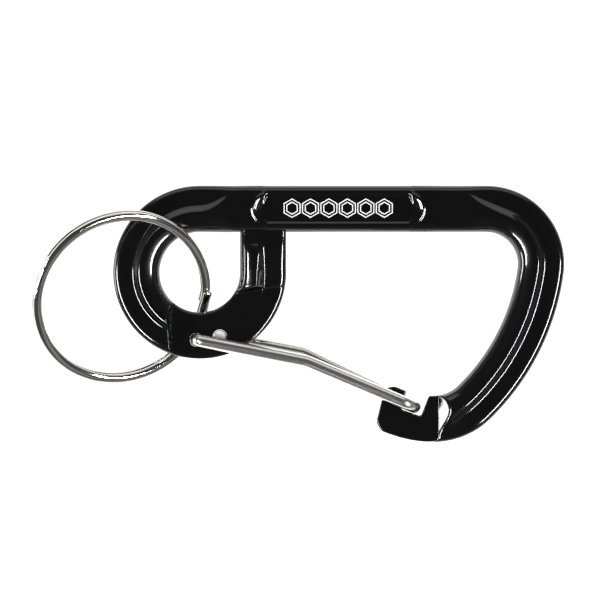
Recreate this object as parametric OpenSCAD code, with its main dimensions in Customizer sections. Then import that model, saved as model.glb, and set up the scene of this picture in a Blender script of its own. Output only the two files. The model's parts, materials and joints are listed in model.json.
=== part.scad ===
// Wire-gate carabiner with a closed eye and a split key ring.
// It lies flat: the body's middle plane is z = 0, the origin is the eye's centre.
// +X runs along the spine towards the bow, +Y points from the gate to the spine.

/* [Bar section] */
// Width of the forged bar, seen from above
bar_w = 7.65; // [7.4:0.05:7.8]
// Half the thickness of the bead along the inner side
bead_half = 2.8; // [2.6:0.05:2.8]
// Radius that rounds the bead's inner edge
bead_round = 1.3; // [0.8:0.1:1.6]
// Half the thickness of the flange along the outer side
flange_half = 1.9; // [1.6:0.05:2.1]
// Radius that rounds the flange's outer edge
flange_round = 0.6; // [0.4:0.1:1.0]
// Width of the flat flange
flange_w = 3.0; // [2.6:0.1:3.2]
// Width of the slope between flange and bead
slope_w = 1.4; // [1.0:0.1:1.6]

/* [Body outline, along the middle of the bar] */
// Radius of the eye loop
eye_r = 10.39; // [10.3:0.01:10.5]
// Length of the straight spine
spine_len = 47.0; // [46.8:0.1:47.2]
// Radius of the corner between spine and bow
corner_r = 8.98; // [8.9:0.01:9.1]
// Direction in which the corner ends and the bow starts
bow_start = -8; // [-9:0.5:-7]
// Radius of the long bow
bow_r = 37.2; // [37:0.1:37.4]
// Direction in which the bow ends and the toe starts
toe_start = -46; // [-47:0.5:-45]
// Radius of the toe under the nose
toe_r = 9.39; // [9.3:0.01:9.5]

/* [Label panel] */
// Length of the sunk panel on the spine
panel_len = 28.2; // [24:0.2:30]
// Width of the sunk panel
panel_w = 5.2; // [4:0.1:5.4]
// Where the panel's middle lies along the spine
panel_x = 22.7; // [20:0.1:26]
// Depth of the panel
panel_depth = 0.45; // [0.2:0.05:0.6]

/* [Gate wire] */
// Diameter of the gate wire
wire_d = 2.1; // [2.0:0.05:2.1]
// Half the thickness of the thinned plates at the pivot and at the nose
plate_half = 1.2; // [1.1:0.05:1.2]
// Gap between the plates' faces and the wire's legs
leg_gap = 0.05; // [0.05:0.01:0.1]
// Radius of the wire's slight bend halfway along
kink_r = 5; // [3:1:8]
// Radial clearance of the front leg's pivot hole
front_hole_gap = 0.05; // [0.03:0.01:0.1]
// Radial clearance of the back leg's pivot hole
back_hole_gap = 0.1; // [0.1:0.01:0.1]

/* [Split ring] */
// Outside diameter of the key ring
ring_od = 30; // [29.8:0.1:30]
// Width of the flat wire, from the inside to the outside of the ring
ring_band = 1.48; // [1.3:0.02:1.5]
// Thickness of one coil
coil_t = 0.94; // [0.8:0.02:0.94]
// Depth of the groove between the two coils
coil_groove = 0.3; // [0.2:0.05:0.4]

/* [Hidden] */
$fn = 96;

// Joint places and the ring's lean, in the body's frame
front_pivot = [-0.59, -11.07];
back_pivot = [3.30, -10.55];
front_kink = [17.49, -14.60];
back_kink = [16.95, -13.18];
gate_tip = [35.25, -22.05];
ring_centre = [-12.76, -4.06, 2.70];
ring_heading = 38;
ring_tilt = 27.5;

// Derived sizes of the bar and the wire
half_w = bar_w / 2;
slope_out = half_w - flange_w;
slope_in = slope_out - slope_w;
wire_r = wire_d / 2;
leg_z = plate_half + leg_gap + wire_r;
peg_bend_r = leg_z - plate_half;
tip_split = 0.5;
big = 60;

// Every second length of bar or wire is a hair thinner and reaches into the next by its lap
thinner = 0.997;
lap = 0.3;
bend_thinner = 0.01;

// Centres of the outline's arcs, each tangent to the one before
corner_c = [spine_len, eye_r - corner_r];
bow_c = corner_c + (corner_r - bow_r) * heading(bow_start);
toe_c = bow_c + (bow_r - toe_r) * heading(toe_start);

// The stretch of the spine that has no flange
plain_from = 5;
plain_to = 43;

// Where the thinned plates begin
pivot_plate_left = -4.60;
pivot_plate_top = -3.0;
nose_plate_right = 39.9;

// Nose outline: the notch that catches the gate tip, and the lug between the legs
nose_bottom_r = 20.53;
nose_bottom_c = [toe_c[0], toe_c[1] - toe_r - half_w + nose_bottom_r];
notch_wall_top = [37.67, toe_c[1] - toe_r + half_w];
notch_corner = [36.29, -23.60];
lug_face_r = 35.48;
lug_face_turn = [-18.7, -13.9];

function heading(a) = [cos(a), sin(a)];
function angle_to(p, q) = atan2(q[1] - p[1], q[0] - p[0]);
function along(c, r, from, to, n) =
    [for (i = [0:n]) c + r * heading(from + (to - from) * i / n)];
function backwards(list) = [for (i = [len(list) - 1:-1:0]) list[i]];
// Height on the slope, a half cosine from the bead down to the flange
function slope_height(t) = flange_half + (bead_half - flange_half) * (1 + cos(180 * t)) / 2;

// Upper half of the bar's section: x runs from the inner to the outer edge
flanged_upper = concat(
    along([-half_w + bead_round, bead_half - bead_round], bead_round, 180, 90, 4),
    [for (i = [0:6]) [slope_in + slope_w * i / 6, slope_height(i / 6)]],
    along([half_w - flange_round, flange_half - flange_round], flange_round, 90, 0, 3));
plain_upper = concat(
    along([-half_w + bead_round, bead_half - bead_round], bead_round, 180, 90, 4),
    along([half_w - bead_round, bead_half - bead_round], bead_round, 90, 0, 4));

module section(upper, size) {
    polygon(size * concat(upper, [for (p = backwards(upper)) [p[0], -p[1]]]));
}

// A straight length of bar; the outer edge lies to the left of its heading
module bar_straight(start, turn, length, upper, size) {
    translate([start[0], start[1], 0])
    rotate([0, 0, turn])
    rotate([90, 0, 90])
    linear_extrude(length)
    section(upper, size);
}

// A curved length of bar; the outer edge lies away from the centre
module bar_arc(c, r, from, to, size) {
    translate([c[0], c[1], 0])
    rotate([0, 0, from])
    rotate_extrude(angle = to - from)
    translate([r, 0])
    section(flanged_upper, size);
}

// Nose plate outline, from the toe round the notch and the lug and back along the bottom
module nose_outline() {
    polygon(concat(
        [toe_c + [0.7, -toe_r + half_w - 0.1], notch_wall_top, notch_corner],
        along(front_pivot, lug_face_r, lug_face_turn[0], lug_face_turn[1], 4),
        [[33.4, -19.2], [31.9, -18.78], [31.1, -18.85], [30.6, -19.4], [29.77, -21.15]],
        [[28.97, -24.42], [29.05, -25.1], [29.45, -25.65]],
        along(nose_bottom_c, nose_bottom_r, -115, -90.2, 6),
        [toe_c + [0.7, -toe_r - half_w + 0.2]]));
}

// One sunk panel, a stadium cut into the face at +Z
module panel_cut() {
    reach = panel_len / 2 - panel_w / 2;
    translate([panel_x, eye_r, bead_half - panel_depth]) {
        translate([-reach, -panel_w / 2, 0])
            cube([2 * reach, panel_w, big]);
        for (side = [-1, 1])
            translate([side * reach, 0, 0]) cylinder(h = big, d = panel_w);
    }
}

// What thins the bar to the plates, above the middle plane
module plate_cut() {
    translate([pivot_plate_left, -big - 1, plate_half])
        cube([eye_r + half_w + 1 - pivot_plate_left, big + 1 + pivot_plate_top, big]);
    translate([nose_plate_right - big, toe_c[1] - toe_r - half_w - 1, plate_half])
        cube([big - 20, 11, big]);
}

// The forged aluminium body: spine, bow, toe and nose, with the eye loop at the other end
module carabiner_body() {
    color([0.05, 0.05, 0.06])
    difference() {
        union() {
            bar_arc([0, 0], eye_r, 90, 360, 1);
            bar_straight([eye_r, eye_r], -90, eye_r + lap, flanged_upper, thinner);
            bar_straight([-lap, eye_r], 0, spine_len + 2 * lap, flanged_upper, thinner);
            bar_straight([plain_from, eye_r], 0, plain_to - plain_from, plain_upper, 1);
            bar_arc(corner_c, corner_r, bow_start, 90, 1);
            bar_arc(bow_c, bow_r, toe_start - lap, bow_start + lap, thinner);
            bar_arc(toe_c, toe_r, -90, toe_start, 1);
            translate([0, 0, -plate_half])
                linear_extrude(2 * plate_half) nose_outline();
        }
        for (face = [0, 1])
            mirror([0, 0, face]) {
                plate_cut();
                panel_cut();
            }
        translate([front_pivot[0], front_pivot[1], -big / 2])
            cylinder(h = big, r = wire_r + front_hole_gap);
        translate([back_pivot[0], back_pivot[1], -big / 2])
            cylinder(h = big, r = wire_r + back_hole_gap);
    }
}

// Straight round wire from p to q at the legs' height
module wire_straight(p, q) {
    translate([p[0], p[1], leg_z])
    rotate([0, 0, angle_to(p, q)])
    rotate([0, 90, 0])
    cylinder(h = norm(q - p), r = wire_r);
}

// A bend in the wire about the Z axis, at a radius and between two directions
module wire_bend(r, from, to) {
    rotate([0, 0, from])
    rotate_extrude(angle = to - from)
    translate([r, 0]) circle(r = wire_r - bend_thinner);
}

// A bend that stands upright in the leg's own plane
module wire_upright_bend(c, z, turn, r, from, to) {
    translate([c[0], c[1], z])
    rotate([90, 0, turn])
    wire_bend(r, from, to);
}

// Half of the gate wire: peg, leg with its slight bend, and half of the loop at the tip
module gate_half(pivot, kink) {
    turn_in = angle_to(pivot, kink);
    turn_out = angle_to(kink, gate_tip);
    cut_back = kink_r * tan((turn_in - turn_out) / 2);
    kink_start = kink - cut_back * heading(turn_in);
    kink_end = kink + cut_back * heading(turn_out);
    kink_c = kink_start + kink_r * heading(turn_in - 90);
    leg_start = pivot + peg_bend_r * heading(turn_in);
    loop_c = gate_tip - leg_z * heading(turn_out);
    color([0.75, 0.75, 0.77])
    union() {
        translate([pivot[0], pivot[1], -plate_half])
            cylinder(h = 2 * plate_half, r = wire_r);
        wire_upright_bend(leg_start, plate_half, turn_in, peg_bend_r, 87, 183);
        wire_straight(leg_start, kink_start);
        translate([kink_c[0], kink_c[1], leg_z])
            wire_bend(kink_r, turn_out + 89, turn_in + 91);
        wire_straight(kink_end, loop_c);
        wire_upright_bend(loop_c, 0, turn_out, leg_z, tip_split, 92);
    }
}

// The wire's front half, with its peg in the hole nearer the ring
module gate_wire_front_leg() {
    gate_half(front_pivot, front_kink);
}

// The wire's back half, with its peg in the hole nearer the basket
module gate_wire_back_leg() {
    mirror([0, 0, 1]) gate_half(back_pivot, back_kink);
}

// Section of the two coils, one on the other, with a groove between them
module coil_pair_section() {
    in = -ring_band / 2;
    out = ring_band / 2;
    groove_half = 0.05;
    polygon([
        [in, -coil_t], [out, -coil_t], [out, -groove_half], [out - coil_groove, 0],
        [out, groove_half], [out, coil_t], [in, coil_t], [in, groove_half],
        [in + coil_groove, 0], [in, -groove_half]]);
}

// The split ring, leaning through the eye: over the band on one side, under it on the other
module split_ring() {
    color([0.8, 0.8, 0.82])
    translate(ring_centre)
    rotate([ring_tilt, 0, ring_heading])
    rotate_extrude()
    translate([(ring_od - ring_band) / 2, 0])
    coil_pair_section();
}

carabiner_body();
gate_wire_front_leg();
gate_wire_back_leg();
split_ring();
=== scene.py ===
import json
import math

import bpy
import numpy as np
from bpy.props import FloatProperty, FloatVectorProperty, IntProperty, PointerProperty
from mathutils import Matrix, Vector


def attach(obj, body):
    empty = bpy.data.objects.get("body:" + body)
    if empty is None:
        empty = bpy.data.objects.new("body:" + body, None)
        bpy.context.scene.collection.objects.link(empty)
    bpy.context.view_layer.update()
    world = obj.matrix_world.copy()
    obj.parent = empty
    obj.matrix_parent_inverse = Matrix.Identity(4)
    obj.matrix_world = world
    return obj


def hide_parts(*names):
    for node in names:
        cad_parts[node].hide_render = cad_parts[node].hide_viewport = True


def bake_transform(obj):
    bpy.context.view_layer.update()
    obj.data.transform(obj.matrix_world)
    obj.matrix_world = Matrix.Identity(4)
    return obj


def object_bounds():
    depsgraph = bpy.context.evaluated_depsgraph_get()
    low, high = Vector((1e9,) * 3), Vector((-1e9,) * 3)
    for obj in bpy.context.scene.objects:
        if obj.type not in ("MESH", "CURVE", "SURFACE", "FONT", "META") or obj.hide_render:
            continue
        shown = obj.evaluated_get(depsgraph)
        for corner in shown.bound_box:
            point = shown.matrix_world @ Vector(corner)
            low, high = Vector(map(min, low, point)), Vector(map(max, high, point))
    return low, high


bl_info = {
    "name": "Wire-gate carabiner keyring",
    "version": (1, 0, 0),
    "blender": (4, 5, 0),
    "location": "3D View > Sidebar > Carabiner",
    "description": "Builds a forged wire-gate carabiner with a split key ring, and its studio",
    "category": "Add Mesh",
}

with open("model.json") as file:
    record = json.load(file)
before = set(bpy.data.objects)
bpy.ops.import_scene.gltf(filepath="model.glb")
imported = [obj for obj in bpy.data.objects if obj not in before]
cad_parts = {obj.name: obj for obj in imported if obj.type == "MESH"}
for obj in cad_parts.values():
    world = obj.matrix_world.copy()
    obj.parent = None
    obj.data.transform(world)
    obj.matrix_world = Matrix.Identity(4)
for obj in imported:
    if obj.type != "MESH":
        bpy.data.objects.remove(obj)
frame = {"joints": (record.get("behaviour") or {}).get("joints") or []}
CAD_BOX = [list(corner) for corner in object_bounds()]
JOINTS = {joint["name"]: joint for joint in frame["joints"]}
MM = 0.001

# The bar's middle line, in millimetres from the eye's centre, as in the CAD part
EYE_R = 10.39
SPINE_LEN = 47.0
CORNER_R = 8.98
BOW_R = 37.2
TOE_R = 9.39
BOW_START = -8.0
TOE_START = -46.0
HALF_W = 3.825
PLATE_HALF = 1.2
EYE_REACH = EYE_R + HALF_W

# The bar's section, how far its parts sink, and the walls of its thinned plates, in millimetres
FLANGE_W = 3.0
FLANGE_RUN_OUT = 4.6
FLANGE_TOE_LOSS = 2.3
FALL_W = 1.6
FALL_TOE_GAIN = 2.7
ROUND_DROP = 1.25
INNER_ROUND_W = 1.35
OUTER_ROUND_W = 1.25
SINK = 0.75
STRUT_FLANGE_W = 3.4
STRUT_SIZE = 0.997
STRUT_CEILING = 2.79
PIVOT_WALL_X = -4.30
STRUT_WALL_Y = -3.35
WALL_SLOPE = 2.2
SHOULDER_X = 39.15
SHOULDER_SLOPE = 0.80
NO_LIMIT = 9.0
LIP_FROM = 1.8

# The nose plate: its lower edge, its lug about the front pivot, its outer corners (x, y, radius)
# and its rounded edges; and the countersink of the pivot holes, in millimetres
NOSE_BOTTOM_R = 20.53
LUG_REACH = 35.48
LUG_DIRECTION = -18.7
NOSE_CORNERS = [(33.93, -19.50, 0.32), (31.95, -18.68, 0.9), (30.55, -18.95, 0.8),
                (29.77, -21.15, 4.0), (28.93, -24.60, 1.2), (29.75, -26.05, 1.2)]
PLATE_ROUND = 0.30
NOSE_PLATE_GAP = 0.004
COUNTERSINK = 0.16

# The label panel: its middle, straight half length, end radius and the length over which its ends
# ease in; and its row of marks: pitch, radii, place above the middle line, depth below the panel
# and height above it, in millimetres
PANEL_X = 22.7
PANEL_REACH = 11.5
PANEL_END_R = 2.32
PANEL_END_EASE = 0.9
MARK_PITCH = 3.02
MARK_RADII = (1.60, 1.08)
MARK_RISE = 0.1
MARK_DEPTH = 0.05
MARK_PROUD = 0.012

# How far an edge turns before it is sharp, in degrees; how close the bar's cross-sections lie, in
# millimetres, and where they lie closer
SHARP_ANGLE = 35.0
COARSE_STEP = 0.5
FINE_STEP = 0.075
CLOSEST = 0.035
NOSE_FINE = [(0.3, 4.0)]
SPINE_FINE = [(9.6, 13.6), (35.1, 39.1)]
EYE_FINE = [(23.5, 30.5), (42.5, 48.9)]


def heading(degrees):
    """Unit vector in the plane, turned anticlockwise from +X by an angle in degrees."""
    a = np.radians(degrees)
    return np.stack([np.cos(a), np.sin(a)], axis=-1)


CORNER_C = np.array([SPINE_LEN, EYE_R - CORNER_R])
BOW_C = CORNER_C + (CORNER_R - BOW_R) * heading(BOW_START)
TOE_C = BOW_C + (BOW_R - TOE_R) * heading(TOE_START)

# Gate wire: pegs, slight bends and the loop at the tip, in millimetres. The tip piece takes the
# last TIP_RINGS points of each half, and its heading eases over TIP_EASE_RINGS each side of its
# middle
FRONT_PIVOT = np.array(JOINTS["gate_swing"]["pos_m"][:2]) / MM
BACK_PIVOT = np.array([3.30, -10.55])
FRONT_KINK = np.array([17.49, -14.60])
BACK_KINK = np.array([16.95, -13.18])
GATE_TIP = np.array([35.25, -22.05])
WIRE_R = 1.05
FRONT_CLEARANCE = 0.05
BACK_CLEARANCE = 0.10
LEG_GAP = 0.05
LEG_Z = PLATE_HALF + LEG_GAP + WIRE_R
KINK_R = 5.0
TIP_RINGS = 21
TIP_EASE_RINGS = 14
PEG_END_CUT = (0.12, 0.05)

# Split ring: where it leans through the eye, its wire, and how its two ends overrun each other
# and are rounded off, in millimetres and degrees
RING_CENTRE = np.array([-12.76, -4.06, 2.70])
RING_HEADING = 38.0
RING_TILT = 27.5
RING_R = 14.26
RING_BAND = 1.48
COIL_T = 0.94
COIL_GAP = 0.02
WIRE_POWER = 2.5
RING_STATIONS = 760
RING_OVERRUN = 5.0
END_STEPS = np.array([0.004, 0.010])
END_SCALES = np.array([0.72, 0.92])

# The studio: the camera's middle and width of view, and each light's place, size and power
VIEW_MIDDLE = (16.45 * MM, -4.55 * MM)
VIEW_WIDTH = 98.5 * MM
VIEW_DISTANCE = 0.9
SENSOR_WIDTH = 36.0
FLOOR_HALF = 2.0
FLOOR_GAP = 0.02 * MM
LIGHTS = (
    ("strip_left", (-0.42, -0.20, 0.60), (0.50, 0.05), 5.5),
    ("strip_right", (0.46, -0.20, 0.60), (0.50, 0.05), 5.5),
    ("low_left", (-0.70, -0.04, 0.17), (0.40, 0.10), 2.2),
    ("box_near", (0.42, -0.54, 0.46), (0.34, 0.10), 0.03),
    ("box_far", (0.02, 0.60, 0.36), (0.8, 0.42), 0.85),
)
TENT_STEPS = ((0.0, 0.34), (0.12, 0.30), (0.34, 0.26), (0.52, 0.07), (0.72, 0.10), (0.98, 0.07))


# ---------------------------------------------------------------- properties

class BodyLook(bpy.types.PropertyGroup):
    """Sizes and colour of the forged body."""

    bead_height: FloatProperty(
        name="Bead height", description="Half thickness of the bar at the crown of its bead",
        default=2.8 * MM, min=0.002, max=0.0028, precision=5, unit="LENGTH")
    flange_height: FloatProperty(
        name="Flange height", description="Half thickness of the flange along the outside",
        default=2.1 * MM, min=0.0015, max=0.0023, precision=5, unit="LENGTH")
    bead_crown: FloatProperty(
        name="Bead crown",
        description="How far the plain bead of the spine falls away from its crown to its sides",
        default=0.40 * MM, min=0.0, max=0.0005, precision=5, unit="LENGTH")
    panel_depth: FloatProperty(
        name="Panel depth", description="Depth of the sunk label panel below the bar's crown",
        default=0.45 * MM, min=0.0001, max=0.0006, precision=5, unit="LENGTH")
    colour: FloatVectorProperty(
        name="Finish colour", description="Colour of the gloss black finish",
        default=(0.0009, 0.0009, 0.0012), size=3, subtype="COLOR", min=0.0, max=1.0)
    roughness: FloatProperty(
        name="Finish roughness", description="Mean roughness of the gloss black finish",
        default=0.12, min=0.0, max=1.0, subtype="FACTOR")


class WireLook(bpy.types.PropertyGroup):
    """Sides and colour of the gate wire."""

    sides: IntProperty(
        name="Sides", description="Number of points round the wire",
        default=32, min=12, max=64)
    colour: FloatVectorProperty(
        name="Steel colour", description="Colour of the drawn stainless wire",
        default=(0.72, 0.71, 0.69), size=3, subtype="COLOR", min=0.0, max=1.0)
    roughness: FloatProperty(
        name="Steel roughness", description="Mean roughness of the drawn wire",
        default=0.22, min=0.0, max=1.0, subtype="FACTOR")


class RingLook(bpy.types.PropertyGroup):
    """Cross-over and colour of the split ring."""

    crossover: FloatProperty(
        name="Cross-over place", description="Direction in the ring's plane of the cross-over",
        default=math.radians(-41), subtype="ANGLE")
    crossover_span: FloatProperty(
        name="Cross-over span", description="Turn over which one coil steps onto the other",
        default=math.radians(15), min=0.1, max=0.6, subtype="ANGLE")
    colour: FloatVectorProperty(
        name="Plate colour", description="Colour of the nickel plate",
        default=(0.60, 0.585, 0.56), size=3, subtype="COLOR", min=0.0, max=1.0)
    roughness: FloatProperty(
        name="Plate roughness", description="Mean roughness of the nickel plate",
        default=0.06, min=0.0, max=1.0, subtype="FACTOR")


class MarkLook(bpy.types.PropertyGroup):
    """Row of plain outlined shapes on the label panel."""

    count: IntProperty(
        name="Marks", description="Number of outlined shapes in the row",
        default=6, min=1, max=8)
    line: FloatProperty(
        name="Line width", description="Width of each cut line",
        default=0.16 * MM, min=0.0001, max=0.0003, precision=5, unit="LENGTH")
    colour: FloatVectorProperty(
        name="Mark colour", description="Colour of the bare metal in the cut lines",
        default=(0.80, 0.80, 0.79), size=3, subtype="COLOR", min=0.0, max=1.0)


# ---------------------------------------------------------------- mesh helpers

def link(name, mesh):
    """A new object at the origin that shows the mesh."""
    piece = bpy.data.objects.new(name, mesh)
    bpy.context.scene.collection.objects.link(piece)
    return piece


def grid_faces(rows, columns, loop_rows):
    """Corner numbers of the quads of a grid whose columns close on themselves."""
    i = np.arange(rows if loop_rows else rows - 1)[:, None]
    j = np.arange(columns)[None, :]
    after_i = (i + 1) % rows
    after_j = (j + 1) % columns
    return np.stack([i * columns + j, i * columns + after_j,
                     after_i * columns + after_j, after_i * columns + j], axis=-1).reshape(-1, 4)


def signed_volume(points, quads):
    """Volume inside quads, the sum of a.(b x c + c x d) / 6: negative when they face inwards."""
    a, b, c, d = (points[quads[:, k]] for k in range(4))
    halves = np.einsum("ij,ij->i", a, np.cross(b, c)) + np.einsum("ij,ij->i", a, np.cross(c, d))
    return halves.sum() / 6


def skin(name, grid, loop_rows=False, lengths=None, sharp=SHARP_ANGLE):
    """Closed skin over a grid of points in millimetres: rows run along, columns go round.

    Flat ends close the first and last rows unless the rows close on themselves. The map
    'along' holds the share of the way round and the length along, in millimetres.
    """
    rows, columns = grid.shape[:2]
    bands = rows if loop_rows else rows - 1
    points = grid.reshape(-1, 3)
    centred = points - points.mean(axis=0)
    quads = grid_faces(rows, columns, loop_rows)
    if lengths is None:
        lengths = np.arange(rows, dtype=float)
    i = np.repeat(np.arange(bands), columns)
    j = np.tile(np.arange(columns), bands)
    after = np.where(i + 1 < rows, i + 1, 0)
    around = np.stack([j, j + 1, j + 1, j], axis=-1) / columns
    along = np.stack([lengths[i], lengths[i], lengths[after], lengths[after]], axis=-1)
    uv = np.stack([around, along], axis=-1)
    inwards = signed_volume(centred, quads) < 0
    if inwards:
        quads = quads[:, ::-1]
        uv = uv[:, ::-1]
    faces = quads.tolist()
    if not loop_rows:
        first = list(range(columns))
        last = list(range((rows - 1) * columns, rows * columns))
        faces += [first, last[::-1]] if inwards else [first[::-1], last]
    mesh = bpy.data.meshes.new(name)
    mesh.from_pydata((points * MM).tolist(), [], faces)
    layer = mesh.uv_layers.new(name="along")
    flat = np.zeros((len(mesh.loops), 2))
    flat[:uv.shape[0] * 4] = uv.reshape(-1, 2)
    layer.data.foreach_set("uv", flat.ravel().astype(np.float32))
    mesh.shade_smooth()
    mesh.set_sharp_from_angle(angle=math.radians(sharp))
    mesh.validate()
    return link(name, mesh)


def combine(target, tool, operation):
    """Adds the tool to the target, or cuts it away, and removes the tool."""
    modifier = target.modifiers.new("combine", "BOOLEAN")
    modifier.operation = operation
    modifier.object = tool
    modifier.solver = "MANIFOLD"
    view = bpy.context.evaluated_depsgraph_get()
    mesh = bpy.data.meshes.new_from_object(target.evaluated_get(view), depsgraph=view)
    if len(mesh.polygons) == 0:
        raise RuntimeError(f"{target.name}: nothing is left after it is combined")
    target.modifiers.clear()
    target.data = mesh
    bpy.data.objects.remove(tool)
    mesh.shade_smooth()
    mesh.set_sharp_from_angle(angle=math.radians(SHARP_ANGLE))


def finish_piece(piece, body, material, slot, *nodes):
    """Gives a piece its material and body, and hides the CAD nodes that it stands for. The slot is
    not used.
    """
    piece.data.materials.clear()
    piece.data.materials.append(material)
    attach(piece, body)
    if nodes:
        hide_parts(*nodes)
    return piece


def smooth_step(t):
    """0 before t = 0, 1 after t = 1, and 3t^2 - 2t^3 between."""
    t = np.clip(t, 0, 1)
    return t * t * (3 - 2 * t)


def soft_min(a, b, blend):
    """The smaller of a and b, rounded off where they differ by less than the blend."""
    gap = np.maximum(blend - np.abs(a - b), 0)
    return np.minimum(a, b) - gap * gap / (4 * blend)


# ---------------------------------------------------------------- the forged body

def stations(length, fine_zones=()):
    """Places along a stretch, evenly spaced, with closer ones merged in over the fine zones.

    A place that would nearly touch the one before it is left out; the last one always stays.
    """
    places = [np.linspace(0, length, max(3, round(length / COARSE_STEP)) + 1)]
    places += [np.arange(low, high, FINE_STEP) for low, high in fine_zones]
    merged = np.sort(np.concatenate(places))
    keep = np.concatenate([[True], np.diff(merged) > CLOSEST])
    keep[-1] = True
    if merged[-1] - merged[-2] < CLOSEST:
        keep[-2] = False
    return merged[keep]


def arc_stretch(centre, radius, start, turn, fine_zones=()):
    """Points c + r h(a) and outward directions h(a), as a turns from a start, in degrees."""
    length = radius * abs(math.radians(turn))
    s = stations(length, fine_zones)
    out = heading(start + turn * s / length)
    return centre + radius * out, out


def straight_stretch(start, direction, length, outward, fine_zones=()):
    """Points p + s d and one outward direction along a straight line."""
    s = stations(length, fine_zones)
    points = np.array(start) + s[:, None] * np.array(direction)
    return points, np.tile(np.array(outward, float), (len(s), 1))


def main_path():
    """Middle line of the bar, and its outward directions: toe, bow, corner, spine and eye."""
    stretches = [
        arc_stretch(TOE_C, TOE_R, -90, TOE_START + 90, NOSE_FINE),
        arc_stretch(BOW_C, BOW_R, TOE_START, BOW_START - TOE_START),
        arc_stretch(CORNER_C, CORNER_R, BOW_START, 90 - BOW_START),
        straight_stretch([SPINE_LEN, EYE_R], [-1, 0], SPINE_LEN, [0, 1], SPINE_FINE),
        arc_stretch(np.zeros(2), EYE_R, 90, 270, EYE_FINE),
        straight_stretch([EYE_R, 0], [0, 1], 0.4, [1, 0]),
    ]
    points = np.concatenate([stretch[0] for stretch in stretches])
    outward = np.concatenate([stretch[1] for stretch in stretches])
    fresh = np.concatenate([[True], np.linalg.norm(np.diff(points, axis=0), axis=1) > 1e-3])
    return points[fresh], outward[fresh]


def flange_width(points):
    """Width of the flange, which runs out over the outer edge along the middle of the spine.

    Where the eye nears the strut it widens by 0.4 mm, to meet the strut's own flange.
    """
    x, y = points[:, 0], points[:, 1]
    on_spine = (y > 9.0) & (x > -0.5) & (x < 51)
    run_out = FLANGE_RUN_OUT * smooth_step(x / 9.5) * (1 - smooth_step((x - 38.6) / 11.4))
    near_strut = (x > 8) & (x < 20) & (y < 1)
    extra = 0.4 * smooth_step((y + 5.0) / 5.0) * near_strut
    return FLANGE_W + np.where(on_spine, -run_out, extra)


def toe_share(points):
    """1 where the bar meets the nose plate, easing to 0 over 4.5 mm round the toe."""
    on_toe = (points[:, 1] < -14) & (points[:, 0] > 30)
    return np.where(on_toe, 1 - smooth_step((points[:, 0] - 39.5) / 4.5), 0.0)


def flange_sink(points):
    """How far the flange sinks towards the pivot plate: it eases in over 6.5 mm down the strut."""
    beside_strut = (points[:, 0] > 8) & (points[:, 0] < 20) & (points[:, 1] < 6)
    return np.where(beside_strut, SINK * smooth_step((4.0 - points[:, 1]) / 6.5), 0.0)


def bar_section(flange, toe, sink, look):
    """Section of the bar at each place: a closed outline of distance outwards and height.

    From inside to outside the upper half is a wall, a quarter round, the crowned bead, half a
    cosine down to the flange, a quarter of an ellipse and a wall. The lower half mirrors it.
    Towards the nose the flange runs out and the fall from the bead widens to fill its place.
    """
    bead, low, crown = look.bead_height / MM, look.flange_height / MM, look.bead_crown / MM
    toe = toe[:, None]
    low = low - SINK * toe - sink[:, None]
    fall_w = FALL_W + FALL_TOE_GAIN * toe
    present = np.clip(flange[:, None] / FLANGE_W, 0, 1)
    inner_drop = ROUND_DROP - 0.1 * present
    outer_drop = ROUND_DROP - 0.45 * present
    bead_out = np.minimum(HALF_W - (flange[:, None] - FLANGE_TOE_LOSS * toe) - fall_w, HALF_W)
    middle = (bead_out - HALF_W) / 2
    reach = (bead_out + HALF_W) / 2

    def top(u):
        """Height of the bead, the fall and the flange at a distance outwards."""
        share = (1 - np.cos(np.pi * np.clip((u - bead_out) / fall_w, 0, 1))) / 2
        side = np.clip((u - middle) / reach, -1, 1)
        # The bead's ridge lies outside its middle: from there it tilts inwards, more with distance
        inwards = np.minimum(bead_out, -0.4) - 0.35 - u
        inwards = (inwards + np.sqrt(inwards ** 2 + 0.10)) / 2
        tilt = 0.26 * inwards + 0.05 * inwards ** 2
        drop = crown * (1 - present) * side ** 2 + present * tilt
        return (bead - drop) * (1 - share) + low * share

    turn_in = np.linspace(np.pi, np.pi / 2, 15)[:-1]
    turn_out = np.linspace(np.pi / 2, 0, 11)[1:]
    climb = np.linspace(0, 1, 4)[:-1]
    inner_u = -HALF_W + INNER_ROUND_W * (1 + np.cos(turn_in))
    bead_u = np.linspace(-HALF_W + INNER_ROUND_W, HALF_W - OUTER_ROUND_W, 47)
    outer_u = HALF_W - OUTER_ROUND_W * (1 - np.cos(turn_out))
    inner_z = top(inner_u) - inner_drop * (1 - np.sin(turn_in))
    bead_z = top(bead_u)
    outer_z = bead_z[:, -1:] - outer_drop * (1 - np.sin(turn_out))
    wall = np.full(len(climb), HALF_W)
    upper_u = np.concatenate([-wall, inner_u, bead_u, outer_u, wall])
    upper_z = np.concatenate([climb * inner_z[:, :1], inner_z, bead_z, outer_z,
                              climb[::-1] * outer_z[:, -1:]], axis=1)
    z = np.concatenate([upper_z, -upper_z[:, -2:0:-1]], axis=1)
    return np.broadcast_to(np.concatenate([upper_u, upper_u[-2:0:-1]]), z.shape), z


def plate_height(edge, wide=PLATE_ROUND, deep=PLATE_ROUND):
    """Height of a thinned plate by distance from its edge: flat, then a quarter of an ellipse."""
    inside = np.clip(1 - edge / wide, 0, 1)
    return PLATE_HALF - deep + deep * np.sqrt(1 - inside * inside)


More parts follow.
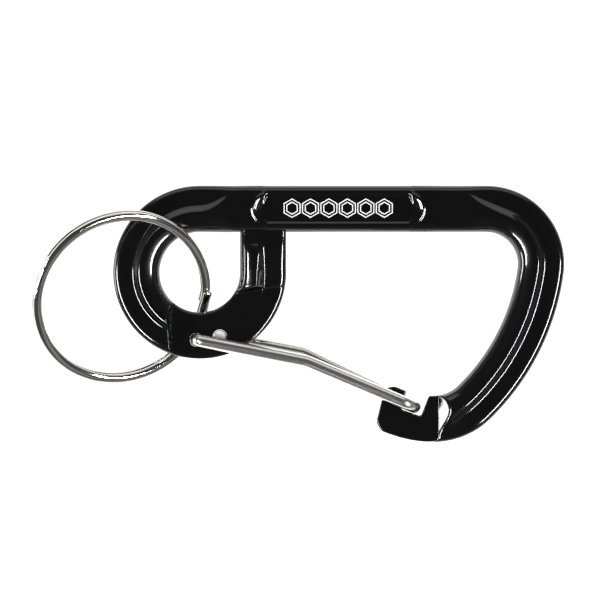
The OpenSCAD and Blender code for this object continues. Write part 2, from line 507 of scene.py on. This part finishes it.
def height_limit(x, y, edge, look):
    """Highest that the forging may stand: the pivot plate, the nose plate and the panel."""
    # The wall beside the pivot bows a little to the left; the one below the strut is nearly level
    wall_left = PIVOT_WALL_X - 0.45 * (1 - ((y + 9.0) / 5.0) ** 2) - x
    wall_strut = y - STRUT_WALL_Y - 0.14 * (x - 6.6)
    beyond_pivot = np.maximum(wall_left, wall_strut)
    # Under the strut's flange the pivot plate steps up a little
    below_strut = np.where(x > 4, smooth_step((y + 7.5) / 4.0), 0.0)
    outer = smooth_step((np.hypot(x, y) - EYE_R + 0.4) / 2.4)
    pivot = plate_height(edge, 1.0, 0.5) + WALL_SLOPE * np.maximum(beyond_pivot, 0)
    pivot = pivot + 0.12 * below_strut * outer
    limit = np.where(x < EYE_REACH + 1, pivot, NO_LIMIT)
    # The nose plate ends in a slanted shoulder
    nose = plate_height(edge) + SHOULDER_SLOPE * np.maximum(x - SHOULDER_X, 0)
    limit = np.where((y < -15) & (x > 30), nose, limit)
    # The panel: flat inside a stadium, then a scooped rim that rises in a quarter sine
    past_end = np.maximum(np.abs(x - PANEL_X) - PANEL_REACH, 0)
    from_axis = np.hypot(past_end, y - EYE_R)
    share = smooth_step(past_end / PANEL_END_EASE)
    reach = PANEL_END_R + 0.75 * (1 - share)
    rim_w = 1.25 + 0.45 * share
    rise = np.clip((from_axis - reach + rim_w) / rim_w, 0, 1)
    floor = (look.bead_height - look.panel_depth) / MM
    scoop = (0.85 - 0.25 * share) * (1 - np.cos(rise * np.pi / 2))
    panel = floor + scoop + 3.0 * np.maximum(from_axis - reach, 0)
    return np.where((y > 6) & (x > 0), np.minimum(limit, panel), limit)


def panel_lip(x, y):
    """Relief round each end of the panel: a narrow lip, exp(-t^2), that stands in a shallow dip."""
    past_end = np.maximum(np.abs(x - PANEL_X) - PANEL_REACH, 0)
    from_end = np.hypot(past_end, y - EYE_R)
    share = smooth_step(past_end / PANEL_END_EASE)
    dip = 1 - smooth_step((from_end - 3.0) / 4.0)
    lip = np.exp(-((from_end - PANEL_END_R - 0.08) / 0.36) ** 2)
    return np.where((y > 6) & (x > 0), share * (0.17 * lip - 0.14 * dip), 0.0)


def sweep_bar(name, points, outward, look, size=1.0, ceiling=None, flange=None):
    """Carries the bar's section along a middle line, shrunk by a size and kept below the limits.

    At a place p with outward direction n, each point (u, z) of the section lands on (p + u n, z').
    Its height z' has the sign of z and the soft minimum of |z| and the limit. A ceiling is a
    second limit for each place, and a flange width for each place replaces the usual one.
    """
    if flange is None:
        flange = flange_width(points)
    u, z = bar_section(flange, toe_share(points), flange_sink(points), look)
    u, z = u * size, z * size
    x = points[:, :1] + outward[:, :1] * u
    y = points[:, 1:] + outward[:, 1:] * u
    limit = height_limit(x, y, HALF_W - np.abs(u), look)
    if ceiling is not None:
        limit = np.minimum(limit, ceiling[:, None])
    raised = np.abs(z) + np.where(np.abs(z) > LIP_FROM, panel_lip(x, y), 0.0)
    at_strut = (x > 4) & (x < 20) & (y < 0)
    blend = 0.28 + 0.55 * smooth_step((y + 5.0) / 2.0) * at_strut
    z = np.sign(z) * soft_min(raised, limit, blend)
    return skin(name, np.stack([x, y, z], axis=-1))


def fillet_outline(corners):
    """Closed outline through corners (x, y, radius), each rounded by an arc of its radius.

    With a half angle h between its sides, a corner's arc of radius r starts r / tan h along each
    side and has its centre r / sin h along their bisector.
    """
    places, radii = np.array(corners, float)[:, :2], np.array(corners, float)[:, 2]
    arcs = []
    for k, (here, radius) in enumerate(zip(places, radii)):
        before, after = places[k - 1], places[(k + 1) % len(places)]
        into = (before - here) / np.linalg.norm(before - here)
        away = (after - here) / np.linalg.norm(after - here)
        half = math.acos(float(np.clip(into @ away, -1, 1))) / 2
        reach = radius / math.tan(half)
        centre = here + (into + away) / np.linalg.norm(into + away) * radius / math.sin(half)
        start, end = here + into * reach - centre, here + away * reach - centre
        a, b = math.atan2(start[1], start[0]), math.atan2(end[1], end[0])
        turn = (b - a + math.pi) % (2 * math.pi) - math.pi
        steps = max(3, int(abs(turn) * 7))
        arcs.append(centre + radius * heading(np.degrees(a + turn * np.linspace(0, 1, steps))))
    return np.concatenate(arcs)


def resample(outline, spacing):
    """The closed outline with its points a set distance apart."""
    closed = np.vstack([outline, outline[:1]])
    run = np.concatenate([[0], np.cumsum(np.linalg.norm(np.diff(closed, axis=0), axis=1))])
    places = np.linspace(0, run[-1], round(run[-1] / spacing), endpoint=False)
    return np.stack([np.interp(places, run, closed[:, k]) for k in range(2)], axis=-1)


def nose_plate():
    """The thinned nose: an outline with the tip's notch and the lug, and quarter-round edges."""
    inner_y = TOE_C[1] - TOE_R + HALF_W
    bottom_y = TOE_C[1] - TOE_R - HALF_W
    bottom_c = np.array([TOE_C[0], bottom_y + NOSE_BOTTOM_R])
    lug = FRONT_PIVOT + LUG_REACH * heading(LUG_DIRECTION)
    in_bar = TOE_C[0] + 0.8
    bottom = [(*(bottom_c + NOSE_BOTTOM_R * heading(a)), 6.0) for a in (-111, -106, -101, -96, -91)]
    notch = [(in_bar, inner_y - 0.10, 0.05), (37.60, inner_y + 0.02, 0.55), (36.29, -23.62, 0.45)]
    outline = fillet_outline(
        notch + [(*lug, 0.35)] + NOSE_CORNERS + bottom + [(in_bar, bottom_y + 0.25, 0.05)])
    outline = resample(outline, 0.14)
    ahead = np.roll(outline, -1, axis=0) - np.roll(outline, 1, axis=0)
    ahead /= np.linalg.norm(ahead, axis=1)[:, None]
    next_x, next_y = np.roll(outline, -1, axis=0).T
    twice_area = np.sum(outline[:, 0] * next_y - outline[:, 1] * next_x)
    inward = np.stack([-ahead[:, 1], ahead[:, 0]], axis=-1) * np.sign(twice_area)
    # Half a section from the bottom face to the top: a quarter round, the wall and a quarter round
    half = PLATE_HALF - NOSE_PLATE_GAP
    turn = np.radians(np.linspace(0, 90, 6))
    step_in = PLATE_ROUND * (1 - np.sin(turn))
    step_up = half - PLATE_ROUND * (1 - np.cos(turn))
    inset = np.concatenate([step_in, [0.0], step_in[::-1]])
    z = np.concatenate([-step_up, [0.0], step_up[::-1]])
    flat = outline[None] + inward[None] * inset[:, None, None]
    grid = np.concatenate([flat, np.broadcast_to(z[:, None, None], flat.shape[:2] + (1,))], axis=-1)
    return skin("nose_plate", grid)


def drill(name, centre, radius, depth):
    """A drill with a countersink at both faces: a profile of radius by height turned about Z."""
    lip = COUNTERSINK
    heights = np.array([-depth - 1, -depth, -depth + lip, depth - lip, depth, depth + 1])
    radii = radius + np.array([lip + 1, lip, 0, 0, lip, lip + 1])
    turn = np.linspace(0, 2 * np.pi, 64, endpoint=False)
    x = centre[0] + radii[:, None] * np.cos(turn)
    y = centre[1] + radii[:, None] * np.sin(turn)
    z = np.broadcast_to(heights[:, None], x.shape)
    return skin(name, np.stack([x, y, z], axis=-1))


class CARABINER_OT_body(bpy.types.Operator):
    """Forges the body: one swept bar, its strut and nose, with the two pivot holes drilled"""

    bl_idname = "carabiner.body"
    bl_label = "Carabiner body"

    def execute(self, context):
        look = context.scene.carabiner_body
        points, outward = main_path()
        body = sweep_bar("carabiner_body_forging", points, outward, look)
        strut, strut_out = straight_stretch([EYE_R, 0.05], [0, 1], 8.5, [1, 0])
        ceiling = STRUT_CEILING - SINK * smooth_step((strut[:, 1] - 3.0) / 2.6)
        flange = np.full(len(strut), STRUT_FLANGE_W)
        upright = sweep_bar("strut", strut, strut_out, look, STRUT_SIZE, ceiling, flange)
        combine(body, upright, "UNION")
        combine(body, nose_plate(), "UNION")
        for name, pivot, clearance in (("front_hole", FRONT_PIVOT, FRONT_CLEARANCE),
                                       ("back_hole", BACK_PIVOT, BACK_CLEARANCE)):
            combine(body, drill(name, pivot, WIRE_R + clearance, PLATE_HALF), "DIFFERENCE")
        finish_piece(body, "carabiner", gloss_black(look), "body_black", "carabiner_body")
        return {"FINISHED"}


# ---------------------------------------------------------------- the label panel's marks

def outline_prism(centre, outer, inner, sides, turn, low, high):
    """A flat closed band between two polygons of one shape: a four-cornered section per corner."""
    directions = heading(turn + np.arange(sides) * 360.0 / sides)
    radii = np.array([outer, outer, inner, inner])
    heights = np.array([low, high, high, low])
    flat = np.array(centre) + directions[:, None, :] * radii[None, :, None]
    z = np.broadcast_to(heights[None, :, None], flat.shape[:2] + (1,))
    return np.concatenate([flat, z], axis=-1)


class CARABINER_OT_marks(bpy.types.Operator):
    """Cuts a row of plain doubled hexagons into the label panel"""

    bl_idname = "carabiner.marks"
    bl_label = "Panel marks"

    def execute(self, context):
        look = context.scene.carabiner_marks
        body = context.scene.carabiner_body
        line = look.line / MM
        floor = (body.bead_height - body.panel_depth) / MM
        low, high = floor - MARK_DEPTH, floor + MARK_PROUD
        bands = []
        for k in range(look.count):
            centre = [PANEL_X + (k - (look.count - 1) / 2) * MARK_PITCH, EYE_R + MARK_RISE]
            for outer in MARK_RADII:
                inner = outer - line / math.cos(math.pi / 6)
                prism = outline_prism(centre, outer, inner, 6, 30, low, high)
                bands.append(skin("band", prism, loop_rows=True, sharp=20))
        with context.temp_override(active_object=bands[0], selected_editable_objects=bands):
            bpy.ops.object.join()
        marks = bands[0]
        marks.name = marks.data.name = "panel_marks"
        finish_piece(marks, "carabiner", bare_lines(look), "panel_marks")
        return {"FINISHED"}


# ---------------------------------------------------------------- the gate wire

def wire_half(pivot, kink):
    """Middle line of half the gate wire from its peg's end to the tip's middle, and its headings.

    Peg, quarter turn, straight leg, slight bend, straight leg and a quarter of the loop at the tip.
    """
    turn_in = math.degrees(math.atan2(*(kink - pivot)[::-1]))
    turn_out = math.degrees(math.atan2(*(GATE_TIP - kink)[::-1]))
    way_in, way_out = heading(turn_in), heading(turn_out)
    bend_r = LEG_Z - PLATE_HALF
    cut_back = KINK_R * math.tan(math.radians(turn_in - turn_out) / 2)
    # From the peg to the bend, by distance from the pivot and height
    quarter = np.linspace(0, np.pi / 2, 15)[1:]
    peg = np.concatenate([[-PLATE_HALF, -PLATE_HALF + 0.05, -PLATE_HALF + 0.12],
                          np.linspace(-0.9, PLATE_HALF, 7)])
    leg = np.linspace(bend_r, np.linalg.norm(kink - pivot) - cut_back, 44)[1:]
    away = np.concatenate([np.zeros(len(peg)), bend_r * (1 - np.cos(quarter)), leg])
    height = np.concatenate([peg, PLATE_HALF + bend_r * np.sin(quarter), np.full(len(leg), LEG_Z)])
    first = np.column_stack([pivot + way_in * away[:, None], height])
    # Round the bend
    bend = np.linspace(turn_in, turn_out, 9)[1:]
    centre = kink - cut_back * way_in + KINK_R * heading(turn_in - 90)
    bent = np.column_stack([centre + KINK_R * heading(bend + 90), np.full(len(bend), LEG_Z)])
    # From the bend to the tip, by distance from the kink and height
    loop_start = np.linalg.norm(GATE_TIP - kink) - LEG_Z
    quarter = np.linspace(0, np.pi / 2, 17)[1:]
    leg = np.concatenate([np.linspace(cut_back, loop_start - 2.0, 36)[1:],
                          np.linspace(loop_start - 2.0, loop_start, 6)[1:]])
    away = np.concatenate([leg, loop_start + LEG_Z * np.sin(quarter)])
    height = np.concatenate([np.full(len(leg), LEG_Z), LEG_Z * np.cos(quarter)])
    second = np.column_stack([kink + way_out * away[:, None], height])
    points = np.concatenate([first, bent, second])
    headings = np.concatenate([np.full(len(first), turn_in), bend, np.full(len(second), turn_out)])
    return points, headings


def tube(name, points, headings, sides, radii=None):
    """Round wire: p + r (cos t a + sin t b), with a and b square to the middle line.

    The axis a is level before it is made square to the line, and square to the heading.
    """
    ahead = np.gradient(points, axis=0)
    ahead /= np.linalg.norm(ahead, axis=1)[:, None]
    level = np.column_stack([heading(headings + 90), np.zeros(len(points))])
    level -= ahead * np.sum(level * ahead, axis=1)[:, None]
    level /= np.linalg.norm(level, axis=1)[:, None]
    square = np.cross(ahead, level)
    turn = np.linspace(0, 2 * np.pi, sides, endpoint=False)[None, :, None]
    if radii is None:
        radii = np.full(len(points), WIRE_R)
    ring = np.cos(turn) * level[:, None] + np.sin(turn) * square[:, None]
    lengths = np.concatenate([[0], np.cumsum(np.linalg.norm(np.diff(points, axis=0), axis=1))])
    return skin(name, points[:, None] + radii[:, None, None] * ring, lengths=lengths)


class CARABINER_OT_gate(bpy.types.Operator):
    """Bends the gate wire: two pegged legs and the loop that joins them at the tip"""

    bl_idname = "carabiner.gate"
    bl_label = "Gate wire"

    def execute(self, context):
        look = context.scene.carabiner_wire
        steel, sheared = drawn_steel(look), sheared_steel(look)
        front, front_way = wire_half(FRONT_PIVOT, FRONT_KINK)
        back, back_way = wire_half(BACK_PIVOT, BACK_KINK)
        back = back * [1, 1, -1]
        for name, points, way, body, node in (
                ("gate_wire_front", front, front_way, "gate", "gate_wire_front_leg"),
                ("gate_wire_back", back, back_way, "gate_back", "gate_wire_back_leg")):
            keep = len(points) - TIP_RINGS + 1
            radii = np.full(keep, WIRE_R)
            radii[:2] -= PEG_END_CUT
            leg = tube(name, points[:keep], way[:keep], look.sides, radii)
            finish_piece(leg, body, steel, "gate_wire", node)
            leg.data.materials.append(sheared)
            corners = np.zeros(len(leg.data.polygons), int)
            leg.data.polygons.foreach_get("loop_total", corners)
            leg.data.polygons.foreach_set("material_index", (corners == look.sides).astype(int))
        # The loop joins both halves at the tip, and its heading eases from one to the other
        loop = np.concatenate([front[-TIP_RINGS:], back[-TIP_RINGS:-1][::-1]])
        middle = TIP_RINGS - 1
        from_middle = (np.arange(len(loop)) - middle) / TIP_EASE_RINGS
        ease = smooth_step((from_middle + 1) / 2)
        way = front_way[-1] * (1 - ease) + back_way[-1] * ease
        tip = tube("gate_wire_tip_loop", loop, way, look.sides)
        tip.data.materials.append(steel)
        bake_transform(tip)
        return {"FINISHED"}


# ---------------------------------------------------------------- the split ring

def coil_steps(turns, place, span):
    """Height of the flat wire: a staircase, one coil's step at each pass of the cross-over."""
    height = np.zeros_like(turns)
    for lap in range(3):
        height += smooth_step((turns - place - lap * 2 * np.pi) / span + 0.5)
    return (height - 1.5) * COIL_T


def flat_wire_section(scale):
    """Flat wire with convex faces, |x/a|^n + |y/b|^n = 1, shrunk by a scale at each place."""
    power = 2 / WIRE_POWER
    angle = np.linspace(0, 2 * np.pi, 32, endpoint=False)
    x, y = np.cos(angle), np.sin(angle)
    outline = np.stack([RING_BAND / 2 * np.sign(x) * np.abs(x) ** power,
                        (COIL_T - COIL_GAP) / 2 * np.sign(y) * np.abs(y) ** power], axis=-1)
    return outline[None] * scale[:, None, None]


class CARABINER_OT_ring(bpy.types.Operator):
    """Winds the split ring: two coils of flat wire that cross over inside the eye"""

    bl_idname = "carabiner.ring"
    bl_label = "Split ring"

    def execute(self, context):
        look = context.scene.carabiner_ring
        over = math.radians(RING_OVERRUN)
        first, last = look.crossover - over, look.crossover + 4 * np.pi + over
        turns = np.sort(np.concatenate([
            np.linspace(first, last, RING_STATIONS), first + END_STEPS, last - END_STEPS]))
        scale = np.ones(len(turns))
        scale[:2], scale[-2:] = END_SCALES, END_SCALES[::-1]
        section = flat_wire_section(scale)
        height = coil_steps(turns, look.crossover, look.crossover_span)
        radial = RING_R + section[..., 0]
        local = np.stack([radial * np.cos(turns)[:, None], radial * np.sin(turns)[:, None],
                          height[:, None] + section[..., 1]], axis=-1)
        tilt, spin = math.radians(RING_TILT), math.radians(RING_HEADING)
        lean = np.array([[1, 0, 0],
                         [0, math.cos(tilt), -math.sin(tilt)],
                         [0, math.sin(tilt), math.cos(tilt)]])
        face = np.array([[math.cos(spin), -math.sin(spin), 0],
                         [math.sin(spin), math.cos(spin), 0],
                         [0, 0, 1]])
        placed = local @ (face @ lean).T + RING_CENTRE
        ring = skin("split_ring_coils", placed, lengths=(turns - turns[0]) * RING_R, sharp=50)
        finish_piece(ring, "ring", nickel_plate(look), "ring_plate", "split_ring")
        return {"FINISHED"}


# ---------------------------------------------------------------- materials

def new_group(name, inputs, outputs):
    """An empty node group: inputs (name, default), or (name, None) for a vector; float outputs."""
    group = bpy.data.node_groups.new(name, "ShaderNodeTree")
    for label, default in inputs:
        kind = "NodeSocketVector" if default is None else "NodeSocketFloat"
        socket = group.interface.new_socket(name=label, in_out="INPUT", socket_type=kind)
        if default is not None:
            socket.default_value = default
    for label in outputs:
        group.interface.new_socket(name=label, in_out="OUTPUT", socket_type="NodeSocketFloat")
    return group, group.nodes.new("NodeGroupInput"), group.nodes.new("NodeGroupOutput")


def add(tree, kind, **values):
    """A new node with its settings and, by name, its input values."""
    node = tree.nodes.new(kind)
    for key, value in values.items():
        if key in node.inputs:
            node.inputs[key].default_value = value
        else:
            setattr(node, key, value)
    return node


def math_node(tree, operation, a, b):
    """A maths node; a and b are numbers or sockets."""
    node = add(tree, "ShaderNodeMath", operation=operation)
    for socket, value in zip(node.inputs, (a, b)):
        if isinstance(value, (int, float)):
            socket.default_value = value
        else:
            tree.links.new(value, socket)
    return node.outputs[0]


def surface_wear_group():
    """Uneven gloss: broad handling marks and fine grain on a roughness, and a height for both."""
    found = bpy.data.node_groups.get("surface_wear")
    if found:
        return found
    group, start, end = new_group("surface_wear", [
        ("Vector", None), ("Roughness", 0.2), ("Spread", 0.08),
        ("Patch Scale", 90.0), ("Grain Scale", 1500.0), ("Grain", 0.5)], ["Roughness", "Height"])
    patch = add(group, "ShaderNodeTexNoise", Detail=3.0)
    grain = add(group, "ShaderNodeTexNoise", Detail=2.0)
    for node, label in ((patch, "Patch Scale"), (grain, "Grain Scale")):
        group.links.new(start.outputs["Vector"], node.inputs["Vector"])
        group.links.new(start.outputs[label], node.inputs["Scale"])
    off_patch = math_node(group, "SUBTRACT", patch.outputs["Fac"], 0.5)
    off_grain = math_node(group, "SUBTRACT", grain.outputs["Fac"], 0.5)
    grained = math_node(group, "MULTIPLY", off_grain, start.outputs["Grain"])
    mixed = math_node(group, "ADD", off_patch, grained)
    spread = math_node(group, "MULTIPLY", mixed, start.outputs["Spread"])
    roughness = math_node(group, "ADD", start.outputs["Roughness"], spread)
    height = math_node(group, "ADD", patch.outputs["Fac"], grained)
    group.links.new(roughness, end.inputs["Roughness"])
    group.links.new(height, end.inputs["Height"])
    return group


def new_material(name):
    """A material with its shader, and its node tree."""
    material = bpy.data.materials.new(name)
    material.use_nodes = True
    tree = material.node_tree
    return material, tree, tree.nodes["Principled BSDF"]


def wear_into(tree, shader, vector, bump, distance, **settings):
    """Places the wear group with its settings, and feeds the shader's roughness and normal."""
    wear = add(tree, "ShaderNodeGroup")
    wear.node_tree = surface_wear_group()
    for name, value in settings.items():
        wear.inputs[name.replace("_", " ").title()].default_value = value
    tree.links.new(vector, wear.inputs["Vector"])
    tree.links.new(wear.outputs["Roughness"], shader.inputs["Roughness"])
    relief = add(tree, "ShaderNodeBump", Strength=bump, Distance=distance)
    tree.links.new(wear.outputs["Height"], relief.inputs["Height"])
    tree.links.new(relief.outputs["Normal"], shader.inputs["Normal"])
    return wear


def tone_into(tree, shader, wear, low, high):
    """Feeds the shader's colour from the wear's height, between two colours."""
    tone = add(tree, "ShaderNodeMix", data_type="RGBA")
    tone.inputs["A"].default_value = (*low, 1)
    tone.inputs["B"].default_value = (*high, 1)
    tree.links.new(wear.outputs["Height"], tone.inputs["Factor"])
    tree.links.new(tone.outputs["Result"], shader.inputs["Base Color"])


def tinted(colour, *factors):
    """The colour with its channels multiplied by three factors, or all by one, and at most 1."""
    return [min(1, value) for value in np.array(colour) * factors]


def gloss_black(look):
    """Gloss black over aluminium: faint orange peel, dulled patches and a browner handled shade."""
    material, tree, shader = new_material("gloss_black")
    place = add(tree, "ShaderNodeTexCoord").outputs["Object"]
    wear = wear_into(tree, shader, place, roughness=look.roughness, spread=0.10, patch_scale=140.0,
                     grain_scale=2600.0, grain=0.35, bump=0.10, distance=0.06 * MM)
    tone_into(tree, shader, wear, look.colour, tinted(look.colour, 1.7, 1.6, 1.5))
    shader.inputs["IOR"].default_value = 1.5
    shader.inputs["Coat Weight"].default_value = 0.5
    shader.inputs["Coat Roughness"].default_value = 0.05
    return material


def streaked(tree, along, around):
    """The piece's own map, drawn out lengthwise so that a noise on it becomes streaks."""
    place = add(tree, "ShaderNodeUVMap", uv_map="along")
    stretch = add(tree, "ShaderNodeMapping", Scale=(around, along, 1.0))
    tree.links.new(place.outputs["UV"], stretch.inputs["Vector"])
    return stretch.outputs["Vector"]


def drawn_steel(look):
    """Drawn stainless wire: fine lines along its length, and a warmer grey between them."""
    material, tree, shader = new_material("drawn_stainless")
    lines = streaked(tree, along=0.07, around=26.0)
    wear = wear_into(tree, shader, lines, roughness=look.roughness, spread=0.16, patch_scale=1.0,
                     grain_scale=2.6, grain=0.6, bump=0.12, distance=0.04 * MM)
    tone_into(tree, shader, wear, tinted(look.colour, 0.80, 0.78, 0.75), tinted(look.colour, 1.15))
    shader.inputs["Metallic"].default_value = 1.0
    return material


def sheared_steel(look):
    """Sheared end of the wire: matt, pale and pitted."""
    material, tree, shader = new_material("sheared_steel")
    place = add(tree, "ShaderNodeTexCoord").outputs["Object"]
    wear = wear_into(tree, shader, place, roughness=0.55, spread=0.2, patch_scale=1200.0,
                     grain_scale=5200.0, grain=0.6, bump=0.3, distance=0.05 * MM)
    tone_into(tree, shader, wear, tinted(look.colour, 0.62), look.colour)
    shader.inputs["Metallic"].default_value = 0.45
    return material


def nickel_plate(look):
    """Bright nickel plate over flat wire: rolling lines round the ring and rubbed, darker spots."""
    material, tree, shader = new_material("nickel_plate")
    lines = streaked(tree, along=0.04, around=11.0)
    wear = wear_into(tree, shader, lines, roughness=look.roughness, spread=0.06, patch_scale=1.0,
                     grain_scale=2.4, grain=0.6, bump=0.30, distance=0.06 * MM)
    tone_into(tree, shader, wear, tinted(look.colour, 0.72, 0.69, 0.65), tinted(look.colour, 1.15))
    shader.inputs["Metallic"].default_value = 1.0
    return material


def bare_lines(look):
    """Bare metal at the bottom of the cut lines: bright, matt and a little uneven."""
    material, tree, shader = new_material("bare_metal_lines")
    place = add(tree, "ShaderNodeTexCoord").outputs["Object"]
    wear = wear_into(tree, shader, place, roughness=0.55, spread=0.15, patch_scale=900.0,
                     grain_scale=6000.0, grain=0.5, bump=0.15, distance=0.03 * MM)
    tone_into(tree, shader, wear, tinted(look.colour, 0.85), look.colour)
    return material


# ---------------------------------------------------------------- the studio

def area_light(name, place, aim, size, energy):
    """A soft rectangular light at a place, turned to face an aim, both in metres."""
    data = bpy.data.lights.new(name, "AREA")
    data.shape = "RECTANGLE"
    data.size, data.size_y = size
    data.energy = energy
    lamp = bpy.data.objects.new(name, data)
    lamp.location = place
    x, y, z = np.array(aim) - np.array(place)
    lamp.rotation_euler = (math.atan2(math.hypot(x, y), -z), 0, math.atan2(-x, y))
    bpy.context.scene.collection.objects.link(lamp)


def tent_world():
    """A grey tent with an open, darker top, and a plain white backdrop for the camera."""
    world = bpy.data.worlds.new("tent")
    bpy.context.scene.world = world
    world.use_nodes = True
    tree = world.node_tree
    background = tree.nodes["Background"]
    place = add(tree, "ShaderNodeTexCoord")
    split = add(tree, "ShaderNodeSeparateXYZ")
    ramp = add(tree, "ShaderNodeValToRGB")
    steps = ramp.color_ramp.elements
    steps[0].position, steps[1].position = TENT_STEPS[0][0], TENT_STEPS[-1][0]
    for position, _ in TENT_STEPS[1:-1]:
        steps.new(position)
    for step, (_, value) in zip(steps, TENT_STEPS):
        step.color = (value, value, value, 1)
    tree.links.new(place.outputs["Generated"], split.inputs["Vector"])
    tree.links.new(split.outputs["Z"], ramp.inputs["Fac"])
    seen = add(tree, "ShaderNodeLightPath")
    backdrop = add(tree, "ShaderNodeMix", data_type="RGBA")
    backdrop.inputs["B"].default_value = (1, 1, 1, 1)
    tree.links.new(seen.outputs["Is Camera Ray"], backdrop.inputs["Factor"])
    tree.links.new(ramp.outputs["Color"], backdrop.inputs["A"])
    tree.links.new(backdrop.outputs["Result"], background.inputs["Color"])
    background.inputs["Strength"].default_value = 1.0


class CARABINER_OT_stage(bpy.types.Operator):
    """Sets up the camera straight above, the pale floor, the tent and the soft lights"""

    bl_idname = "carabiner.stage"
    bl_label = "Stage, lights and camera"

    def execute(self, context):
        scene = context.scene
        data = bpy.data.cameras.new("camera")
        data.sensor_width = SENSOR_WIDTH
        data.lens = SENSOR_WIDTH * VIEW_DISTANCE / VIEW_WIDTH
        data.clip_start, data.clip_end = 0.01, 20.0
        camera = bpy.data.objects.new("camera", data)
        camera.location = (*VIEW_MIDDLE, VIEW_DISTANCE)
        scene.collection.objects.link(camera)
        scene.camera = camera
        scene.view_settings.view_transform = "Standard"
        scene.view_settings.look = "None"
        tent_world()

        low = CAD_BOX[0][2] - FLOOR_GAP
        signs = ((-1, -1), (1, -1), (1, 1), (-1, 1))
        corners = [(x * FLOOR_HALF, y * FLOOR_HALF, low) for x, y in signs]
        floor_mesh = bpy.data.meshes.new("floor")
        floor_mesh.from_pydata(corners, [], [(0, 1, 2, 3)])
        floor = link("floor", floor_mesh)
        material, _, shader = new_material("pale_paper")
        shader.inputs["Base Color"].default_value = (0.55, 0.55, 0.55, 1)
        shader.inputs["Roughness"].default_value = 0.9
        shader.inputs["Specular IOR Level"].default_value = 0.1
        shader.inputs["Emission Color"].default_value = (1, 1, 1, 1)
        shader.inputs["Emission Strength"].default_value = 1.0
        floor_mesh.materials.append(material)

        for name, place, size, energy in LIGHTS:
            area_light(name, place, (*VIEW_MIDDLE, 0.0), size, energy)
        return {"FINISHED"}


# ---------------------------------------------------------------- registration

class CARABINER_PT_panel(bpy.types.Panel):
    """Sizes, colours and buttons for each piece."""

    bl_idname = "CARABINER_PT_panel"
    bl_label = "Carabiner keyring"
    bl_space_type = "VIEW_3D"
    bl_region_type = "UI"
    bl_category = "Carabiner"

    def draw(self, context):
        for attribute, operator in STEPS:
            if attribute:
                look = getattr(context.scene, attribute)
                for key in look.__annotations__:
                    self.layout.prop(look, key)
            self.layout.operator(operator)


STEPS = (
    ("", "carabiner.stage"),
    ("carabiner_body", "carabiner.body"),
    ("carabiner_marks", "carabiner.marks"),
    ("carabiner_wire", "carabiner.gate"),
    ("carabiner_ring", "carabiner.ring"),
)
GROUPS = {"carabiner_body": BodyLook, "carabiner_marks": MarkLook,
          "carabiner_wire": WireLook, "carabiner_ring": RingLook}
CLASSES = (BodyLook, MarkLook, WireLook, RingLook, CARABINER_OT_stage, CARABINER_OT_body,
           CARABINER_OT_marks, CARABINER_OT_gate, CARABINER_OT_ring, CARABINER_PT_panel)


def register():
    for item in CLASSES:
        bpy.utils.register_class(item)
    for attribute, group in GROUPS.items():
        setattr(bpy.types.Scene, attribute, PointerProperty(type=group))


def unregister():
    for attribute in GROUPS:
        delattr(bpy.types.Scene, attribute)
    for item in reversed(CLASSES):
        bpy.utils.unregister_class(item)


def main():
    """Registers the add-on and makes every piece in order."""
    register()
    for _, operator in STEPS:
        family, name = operator.split(".")
        getattr(getattr(bpy.ops, family), name)()


if __name__ == "__main__":
    main()
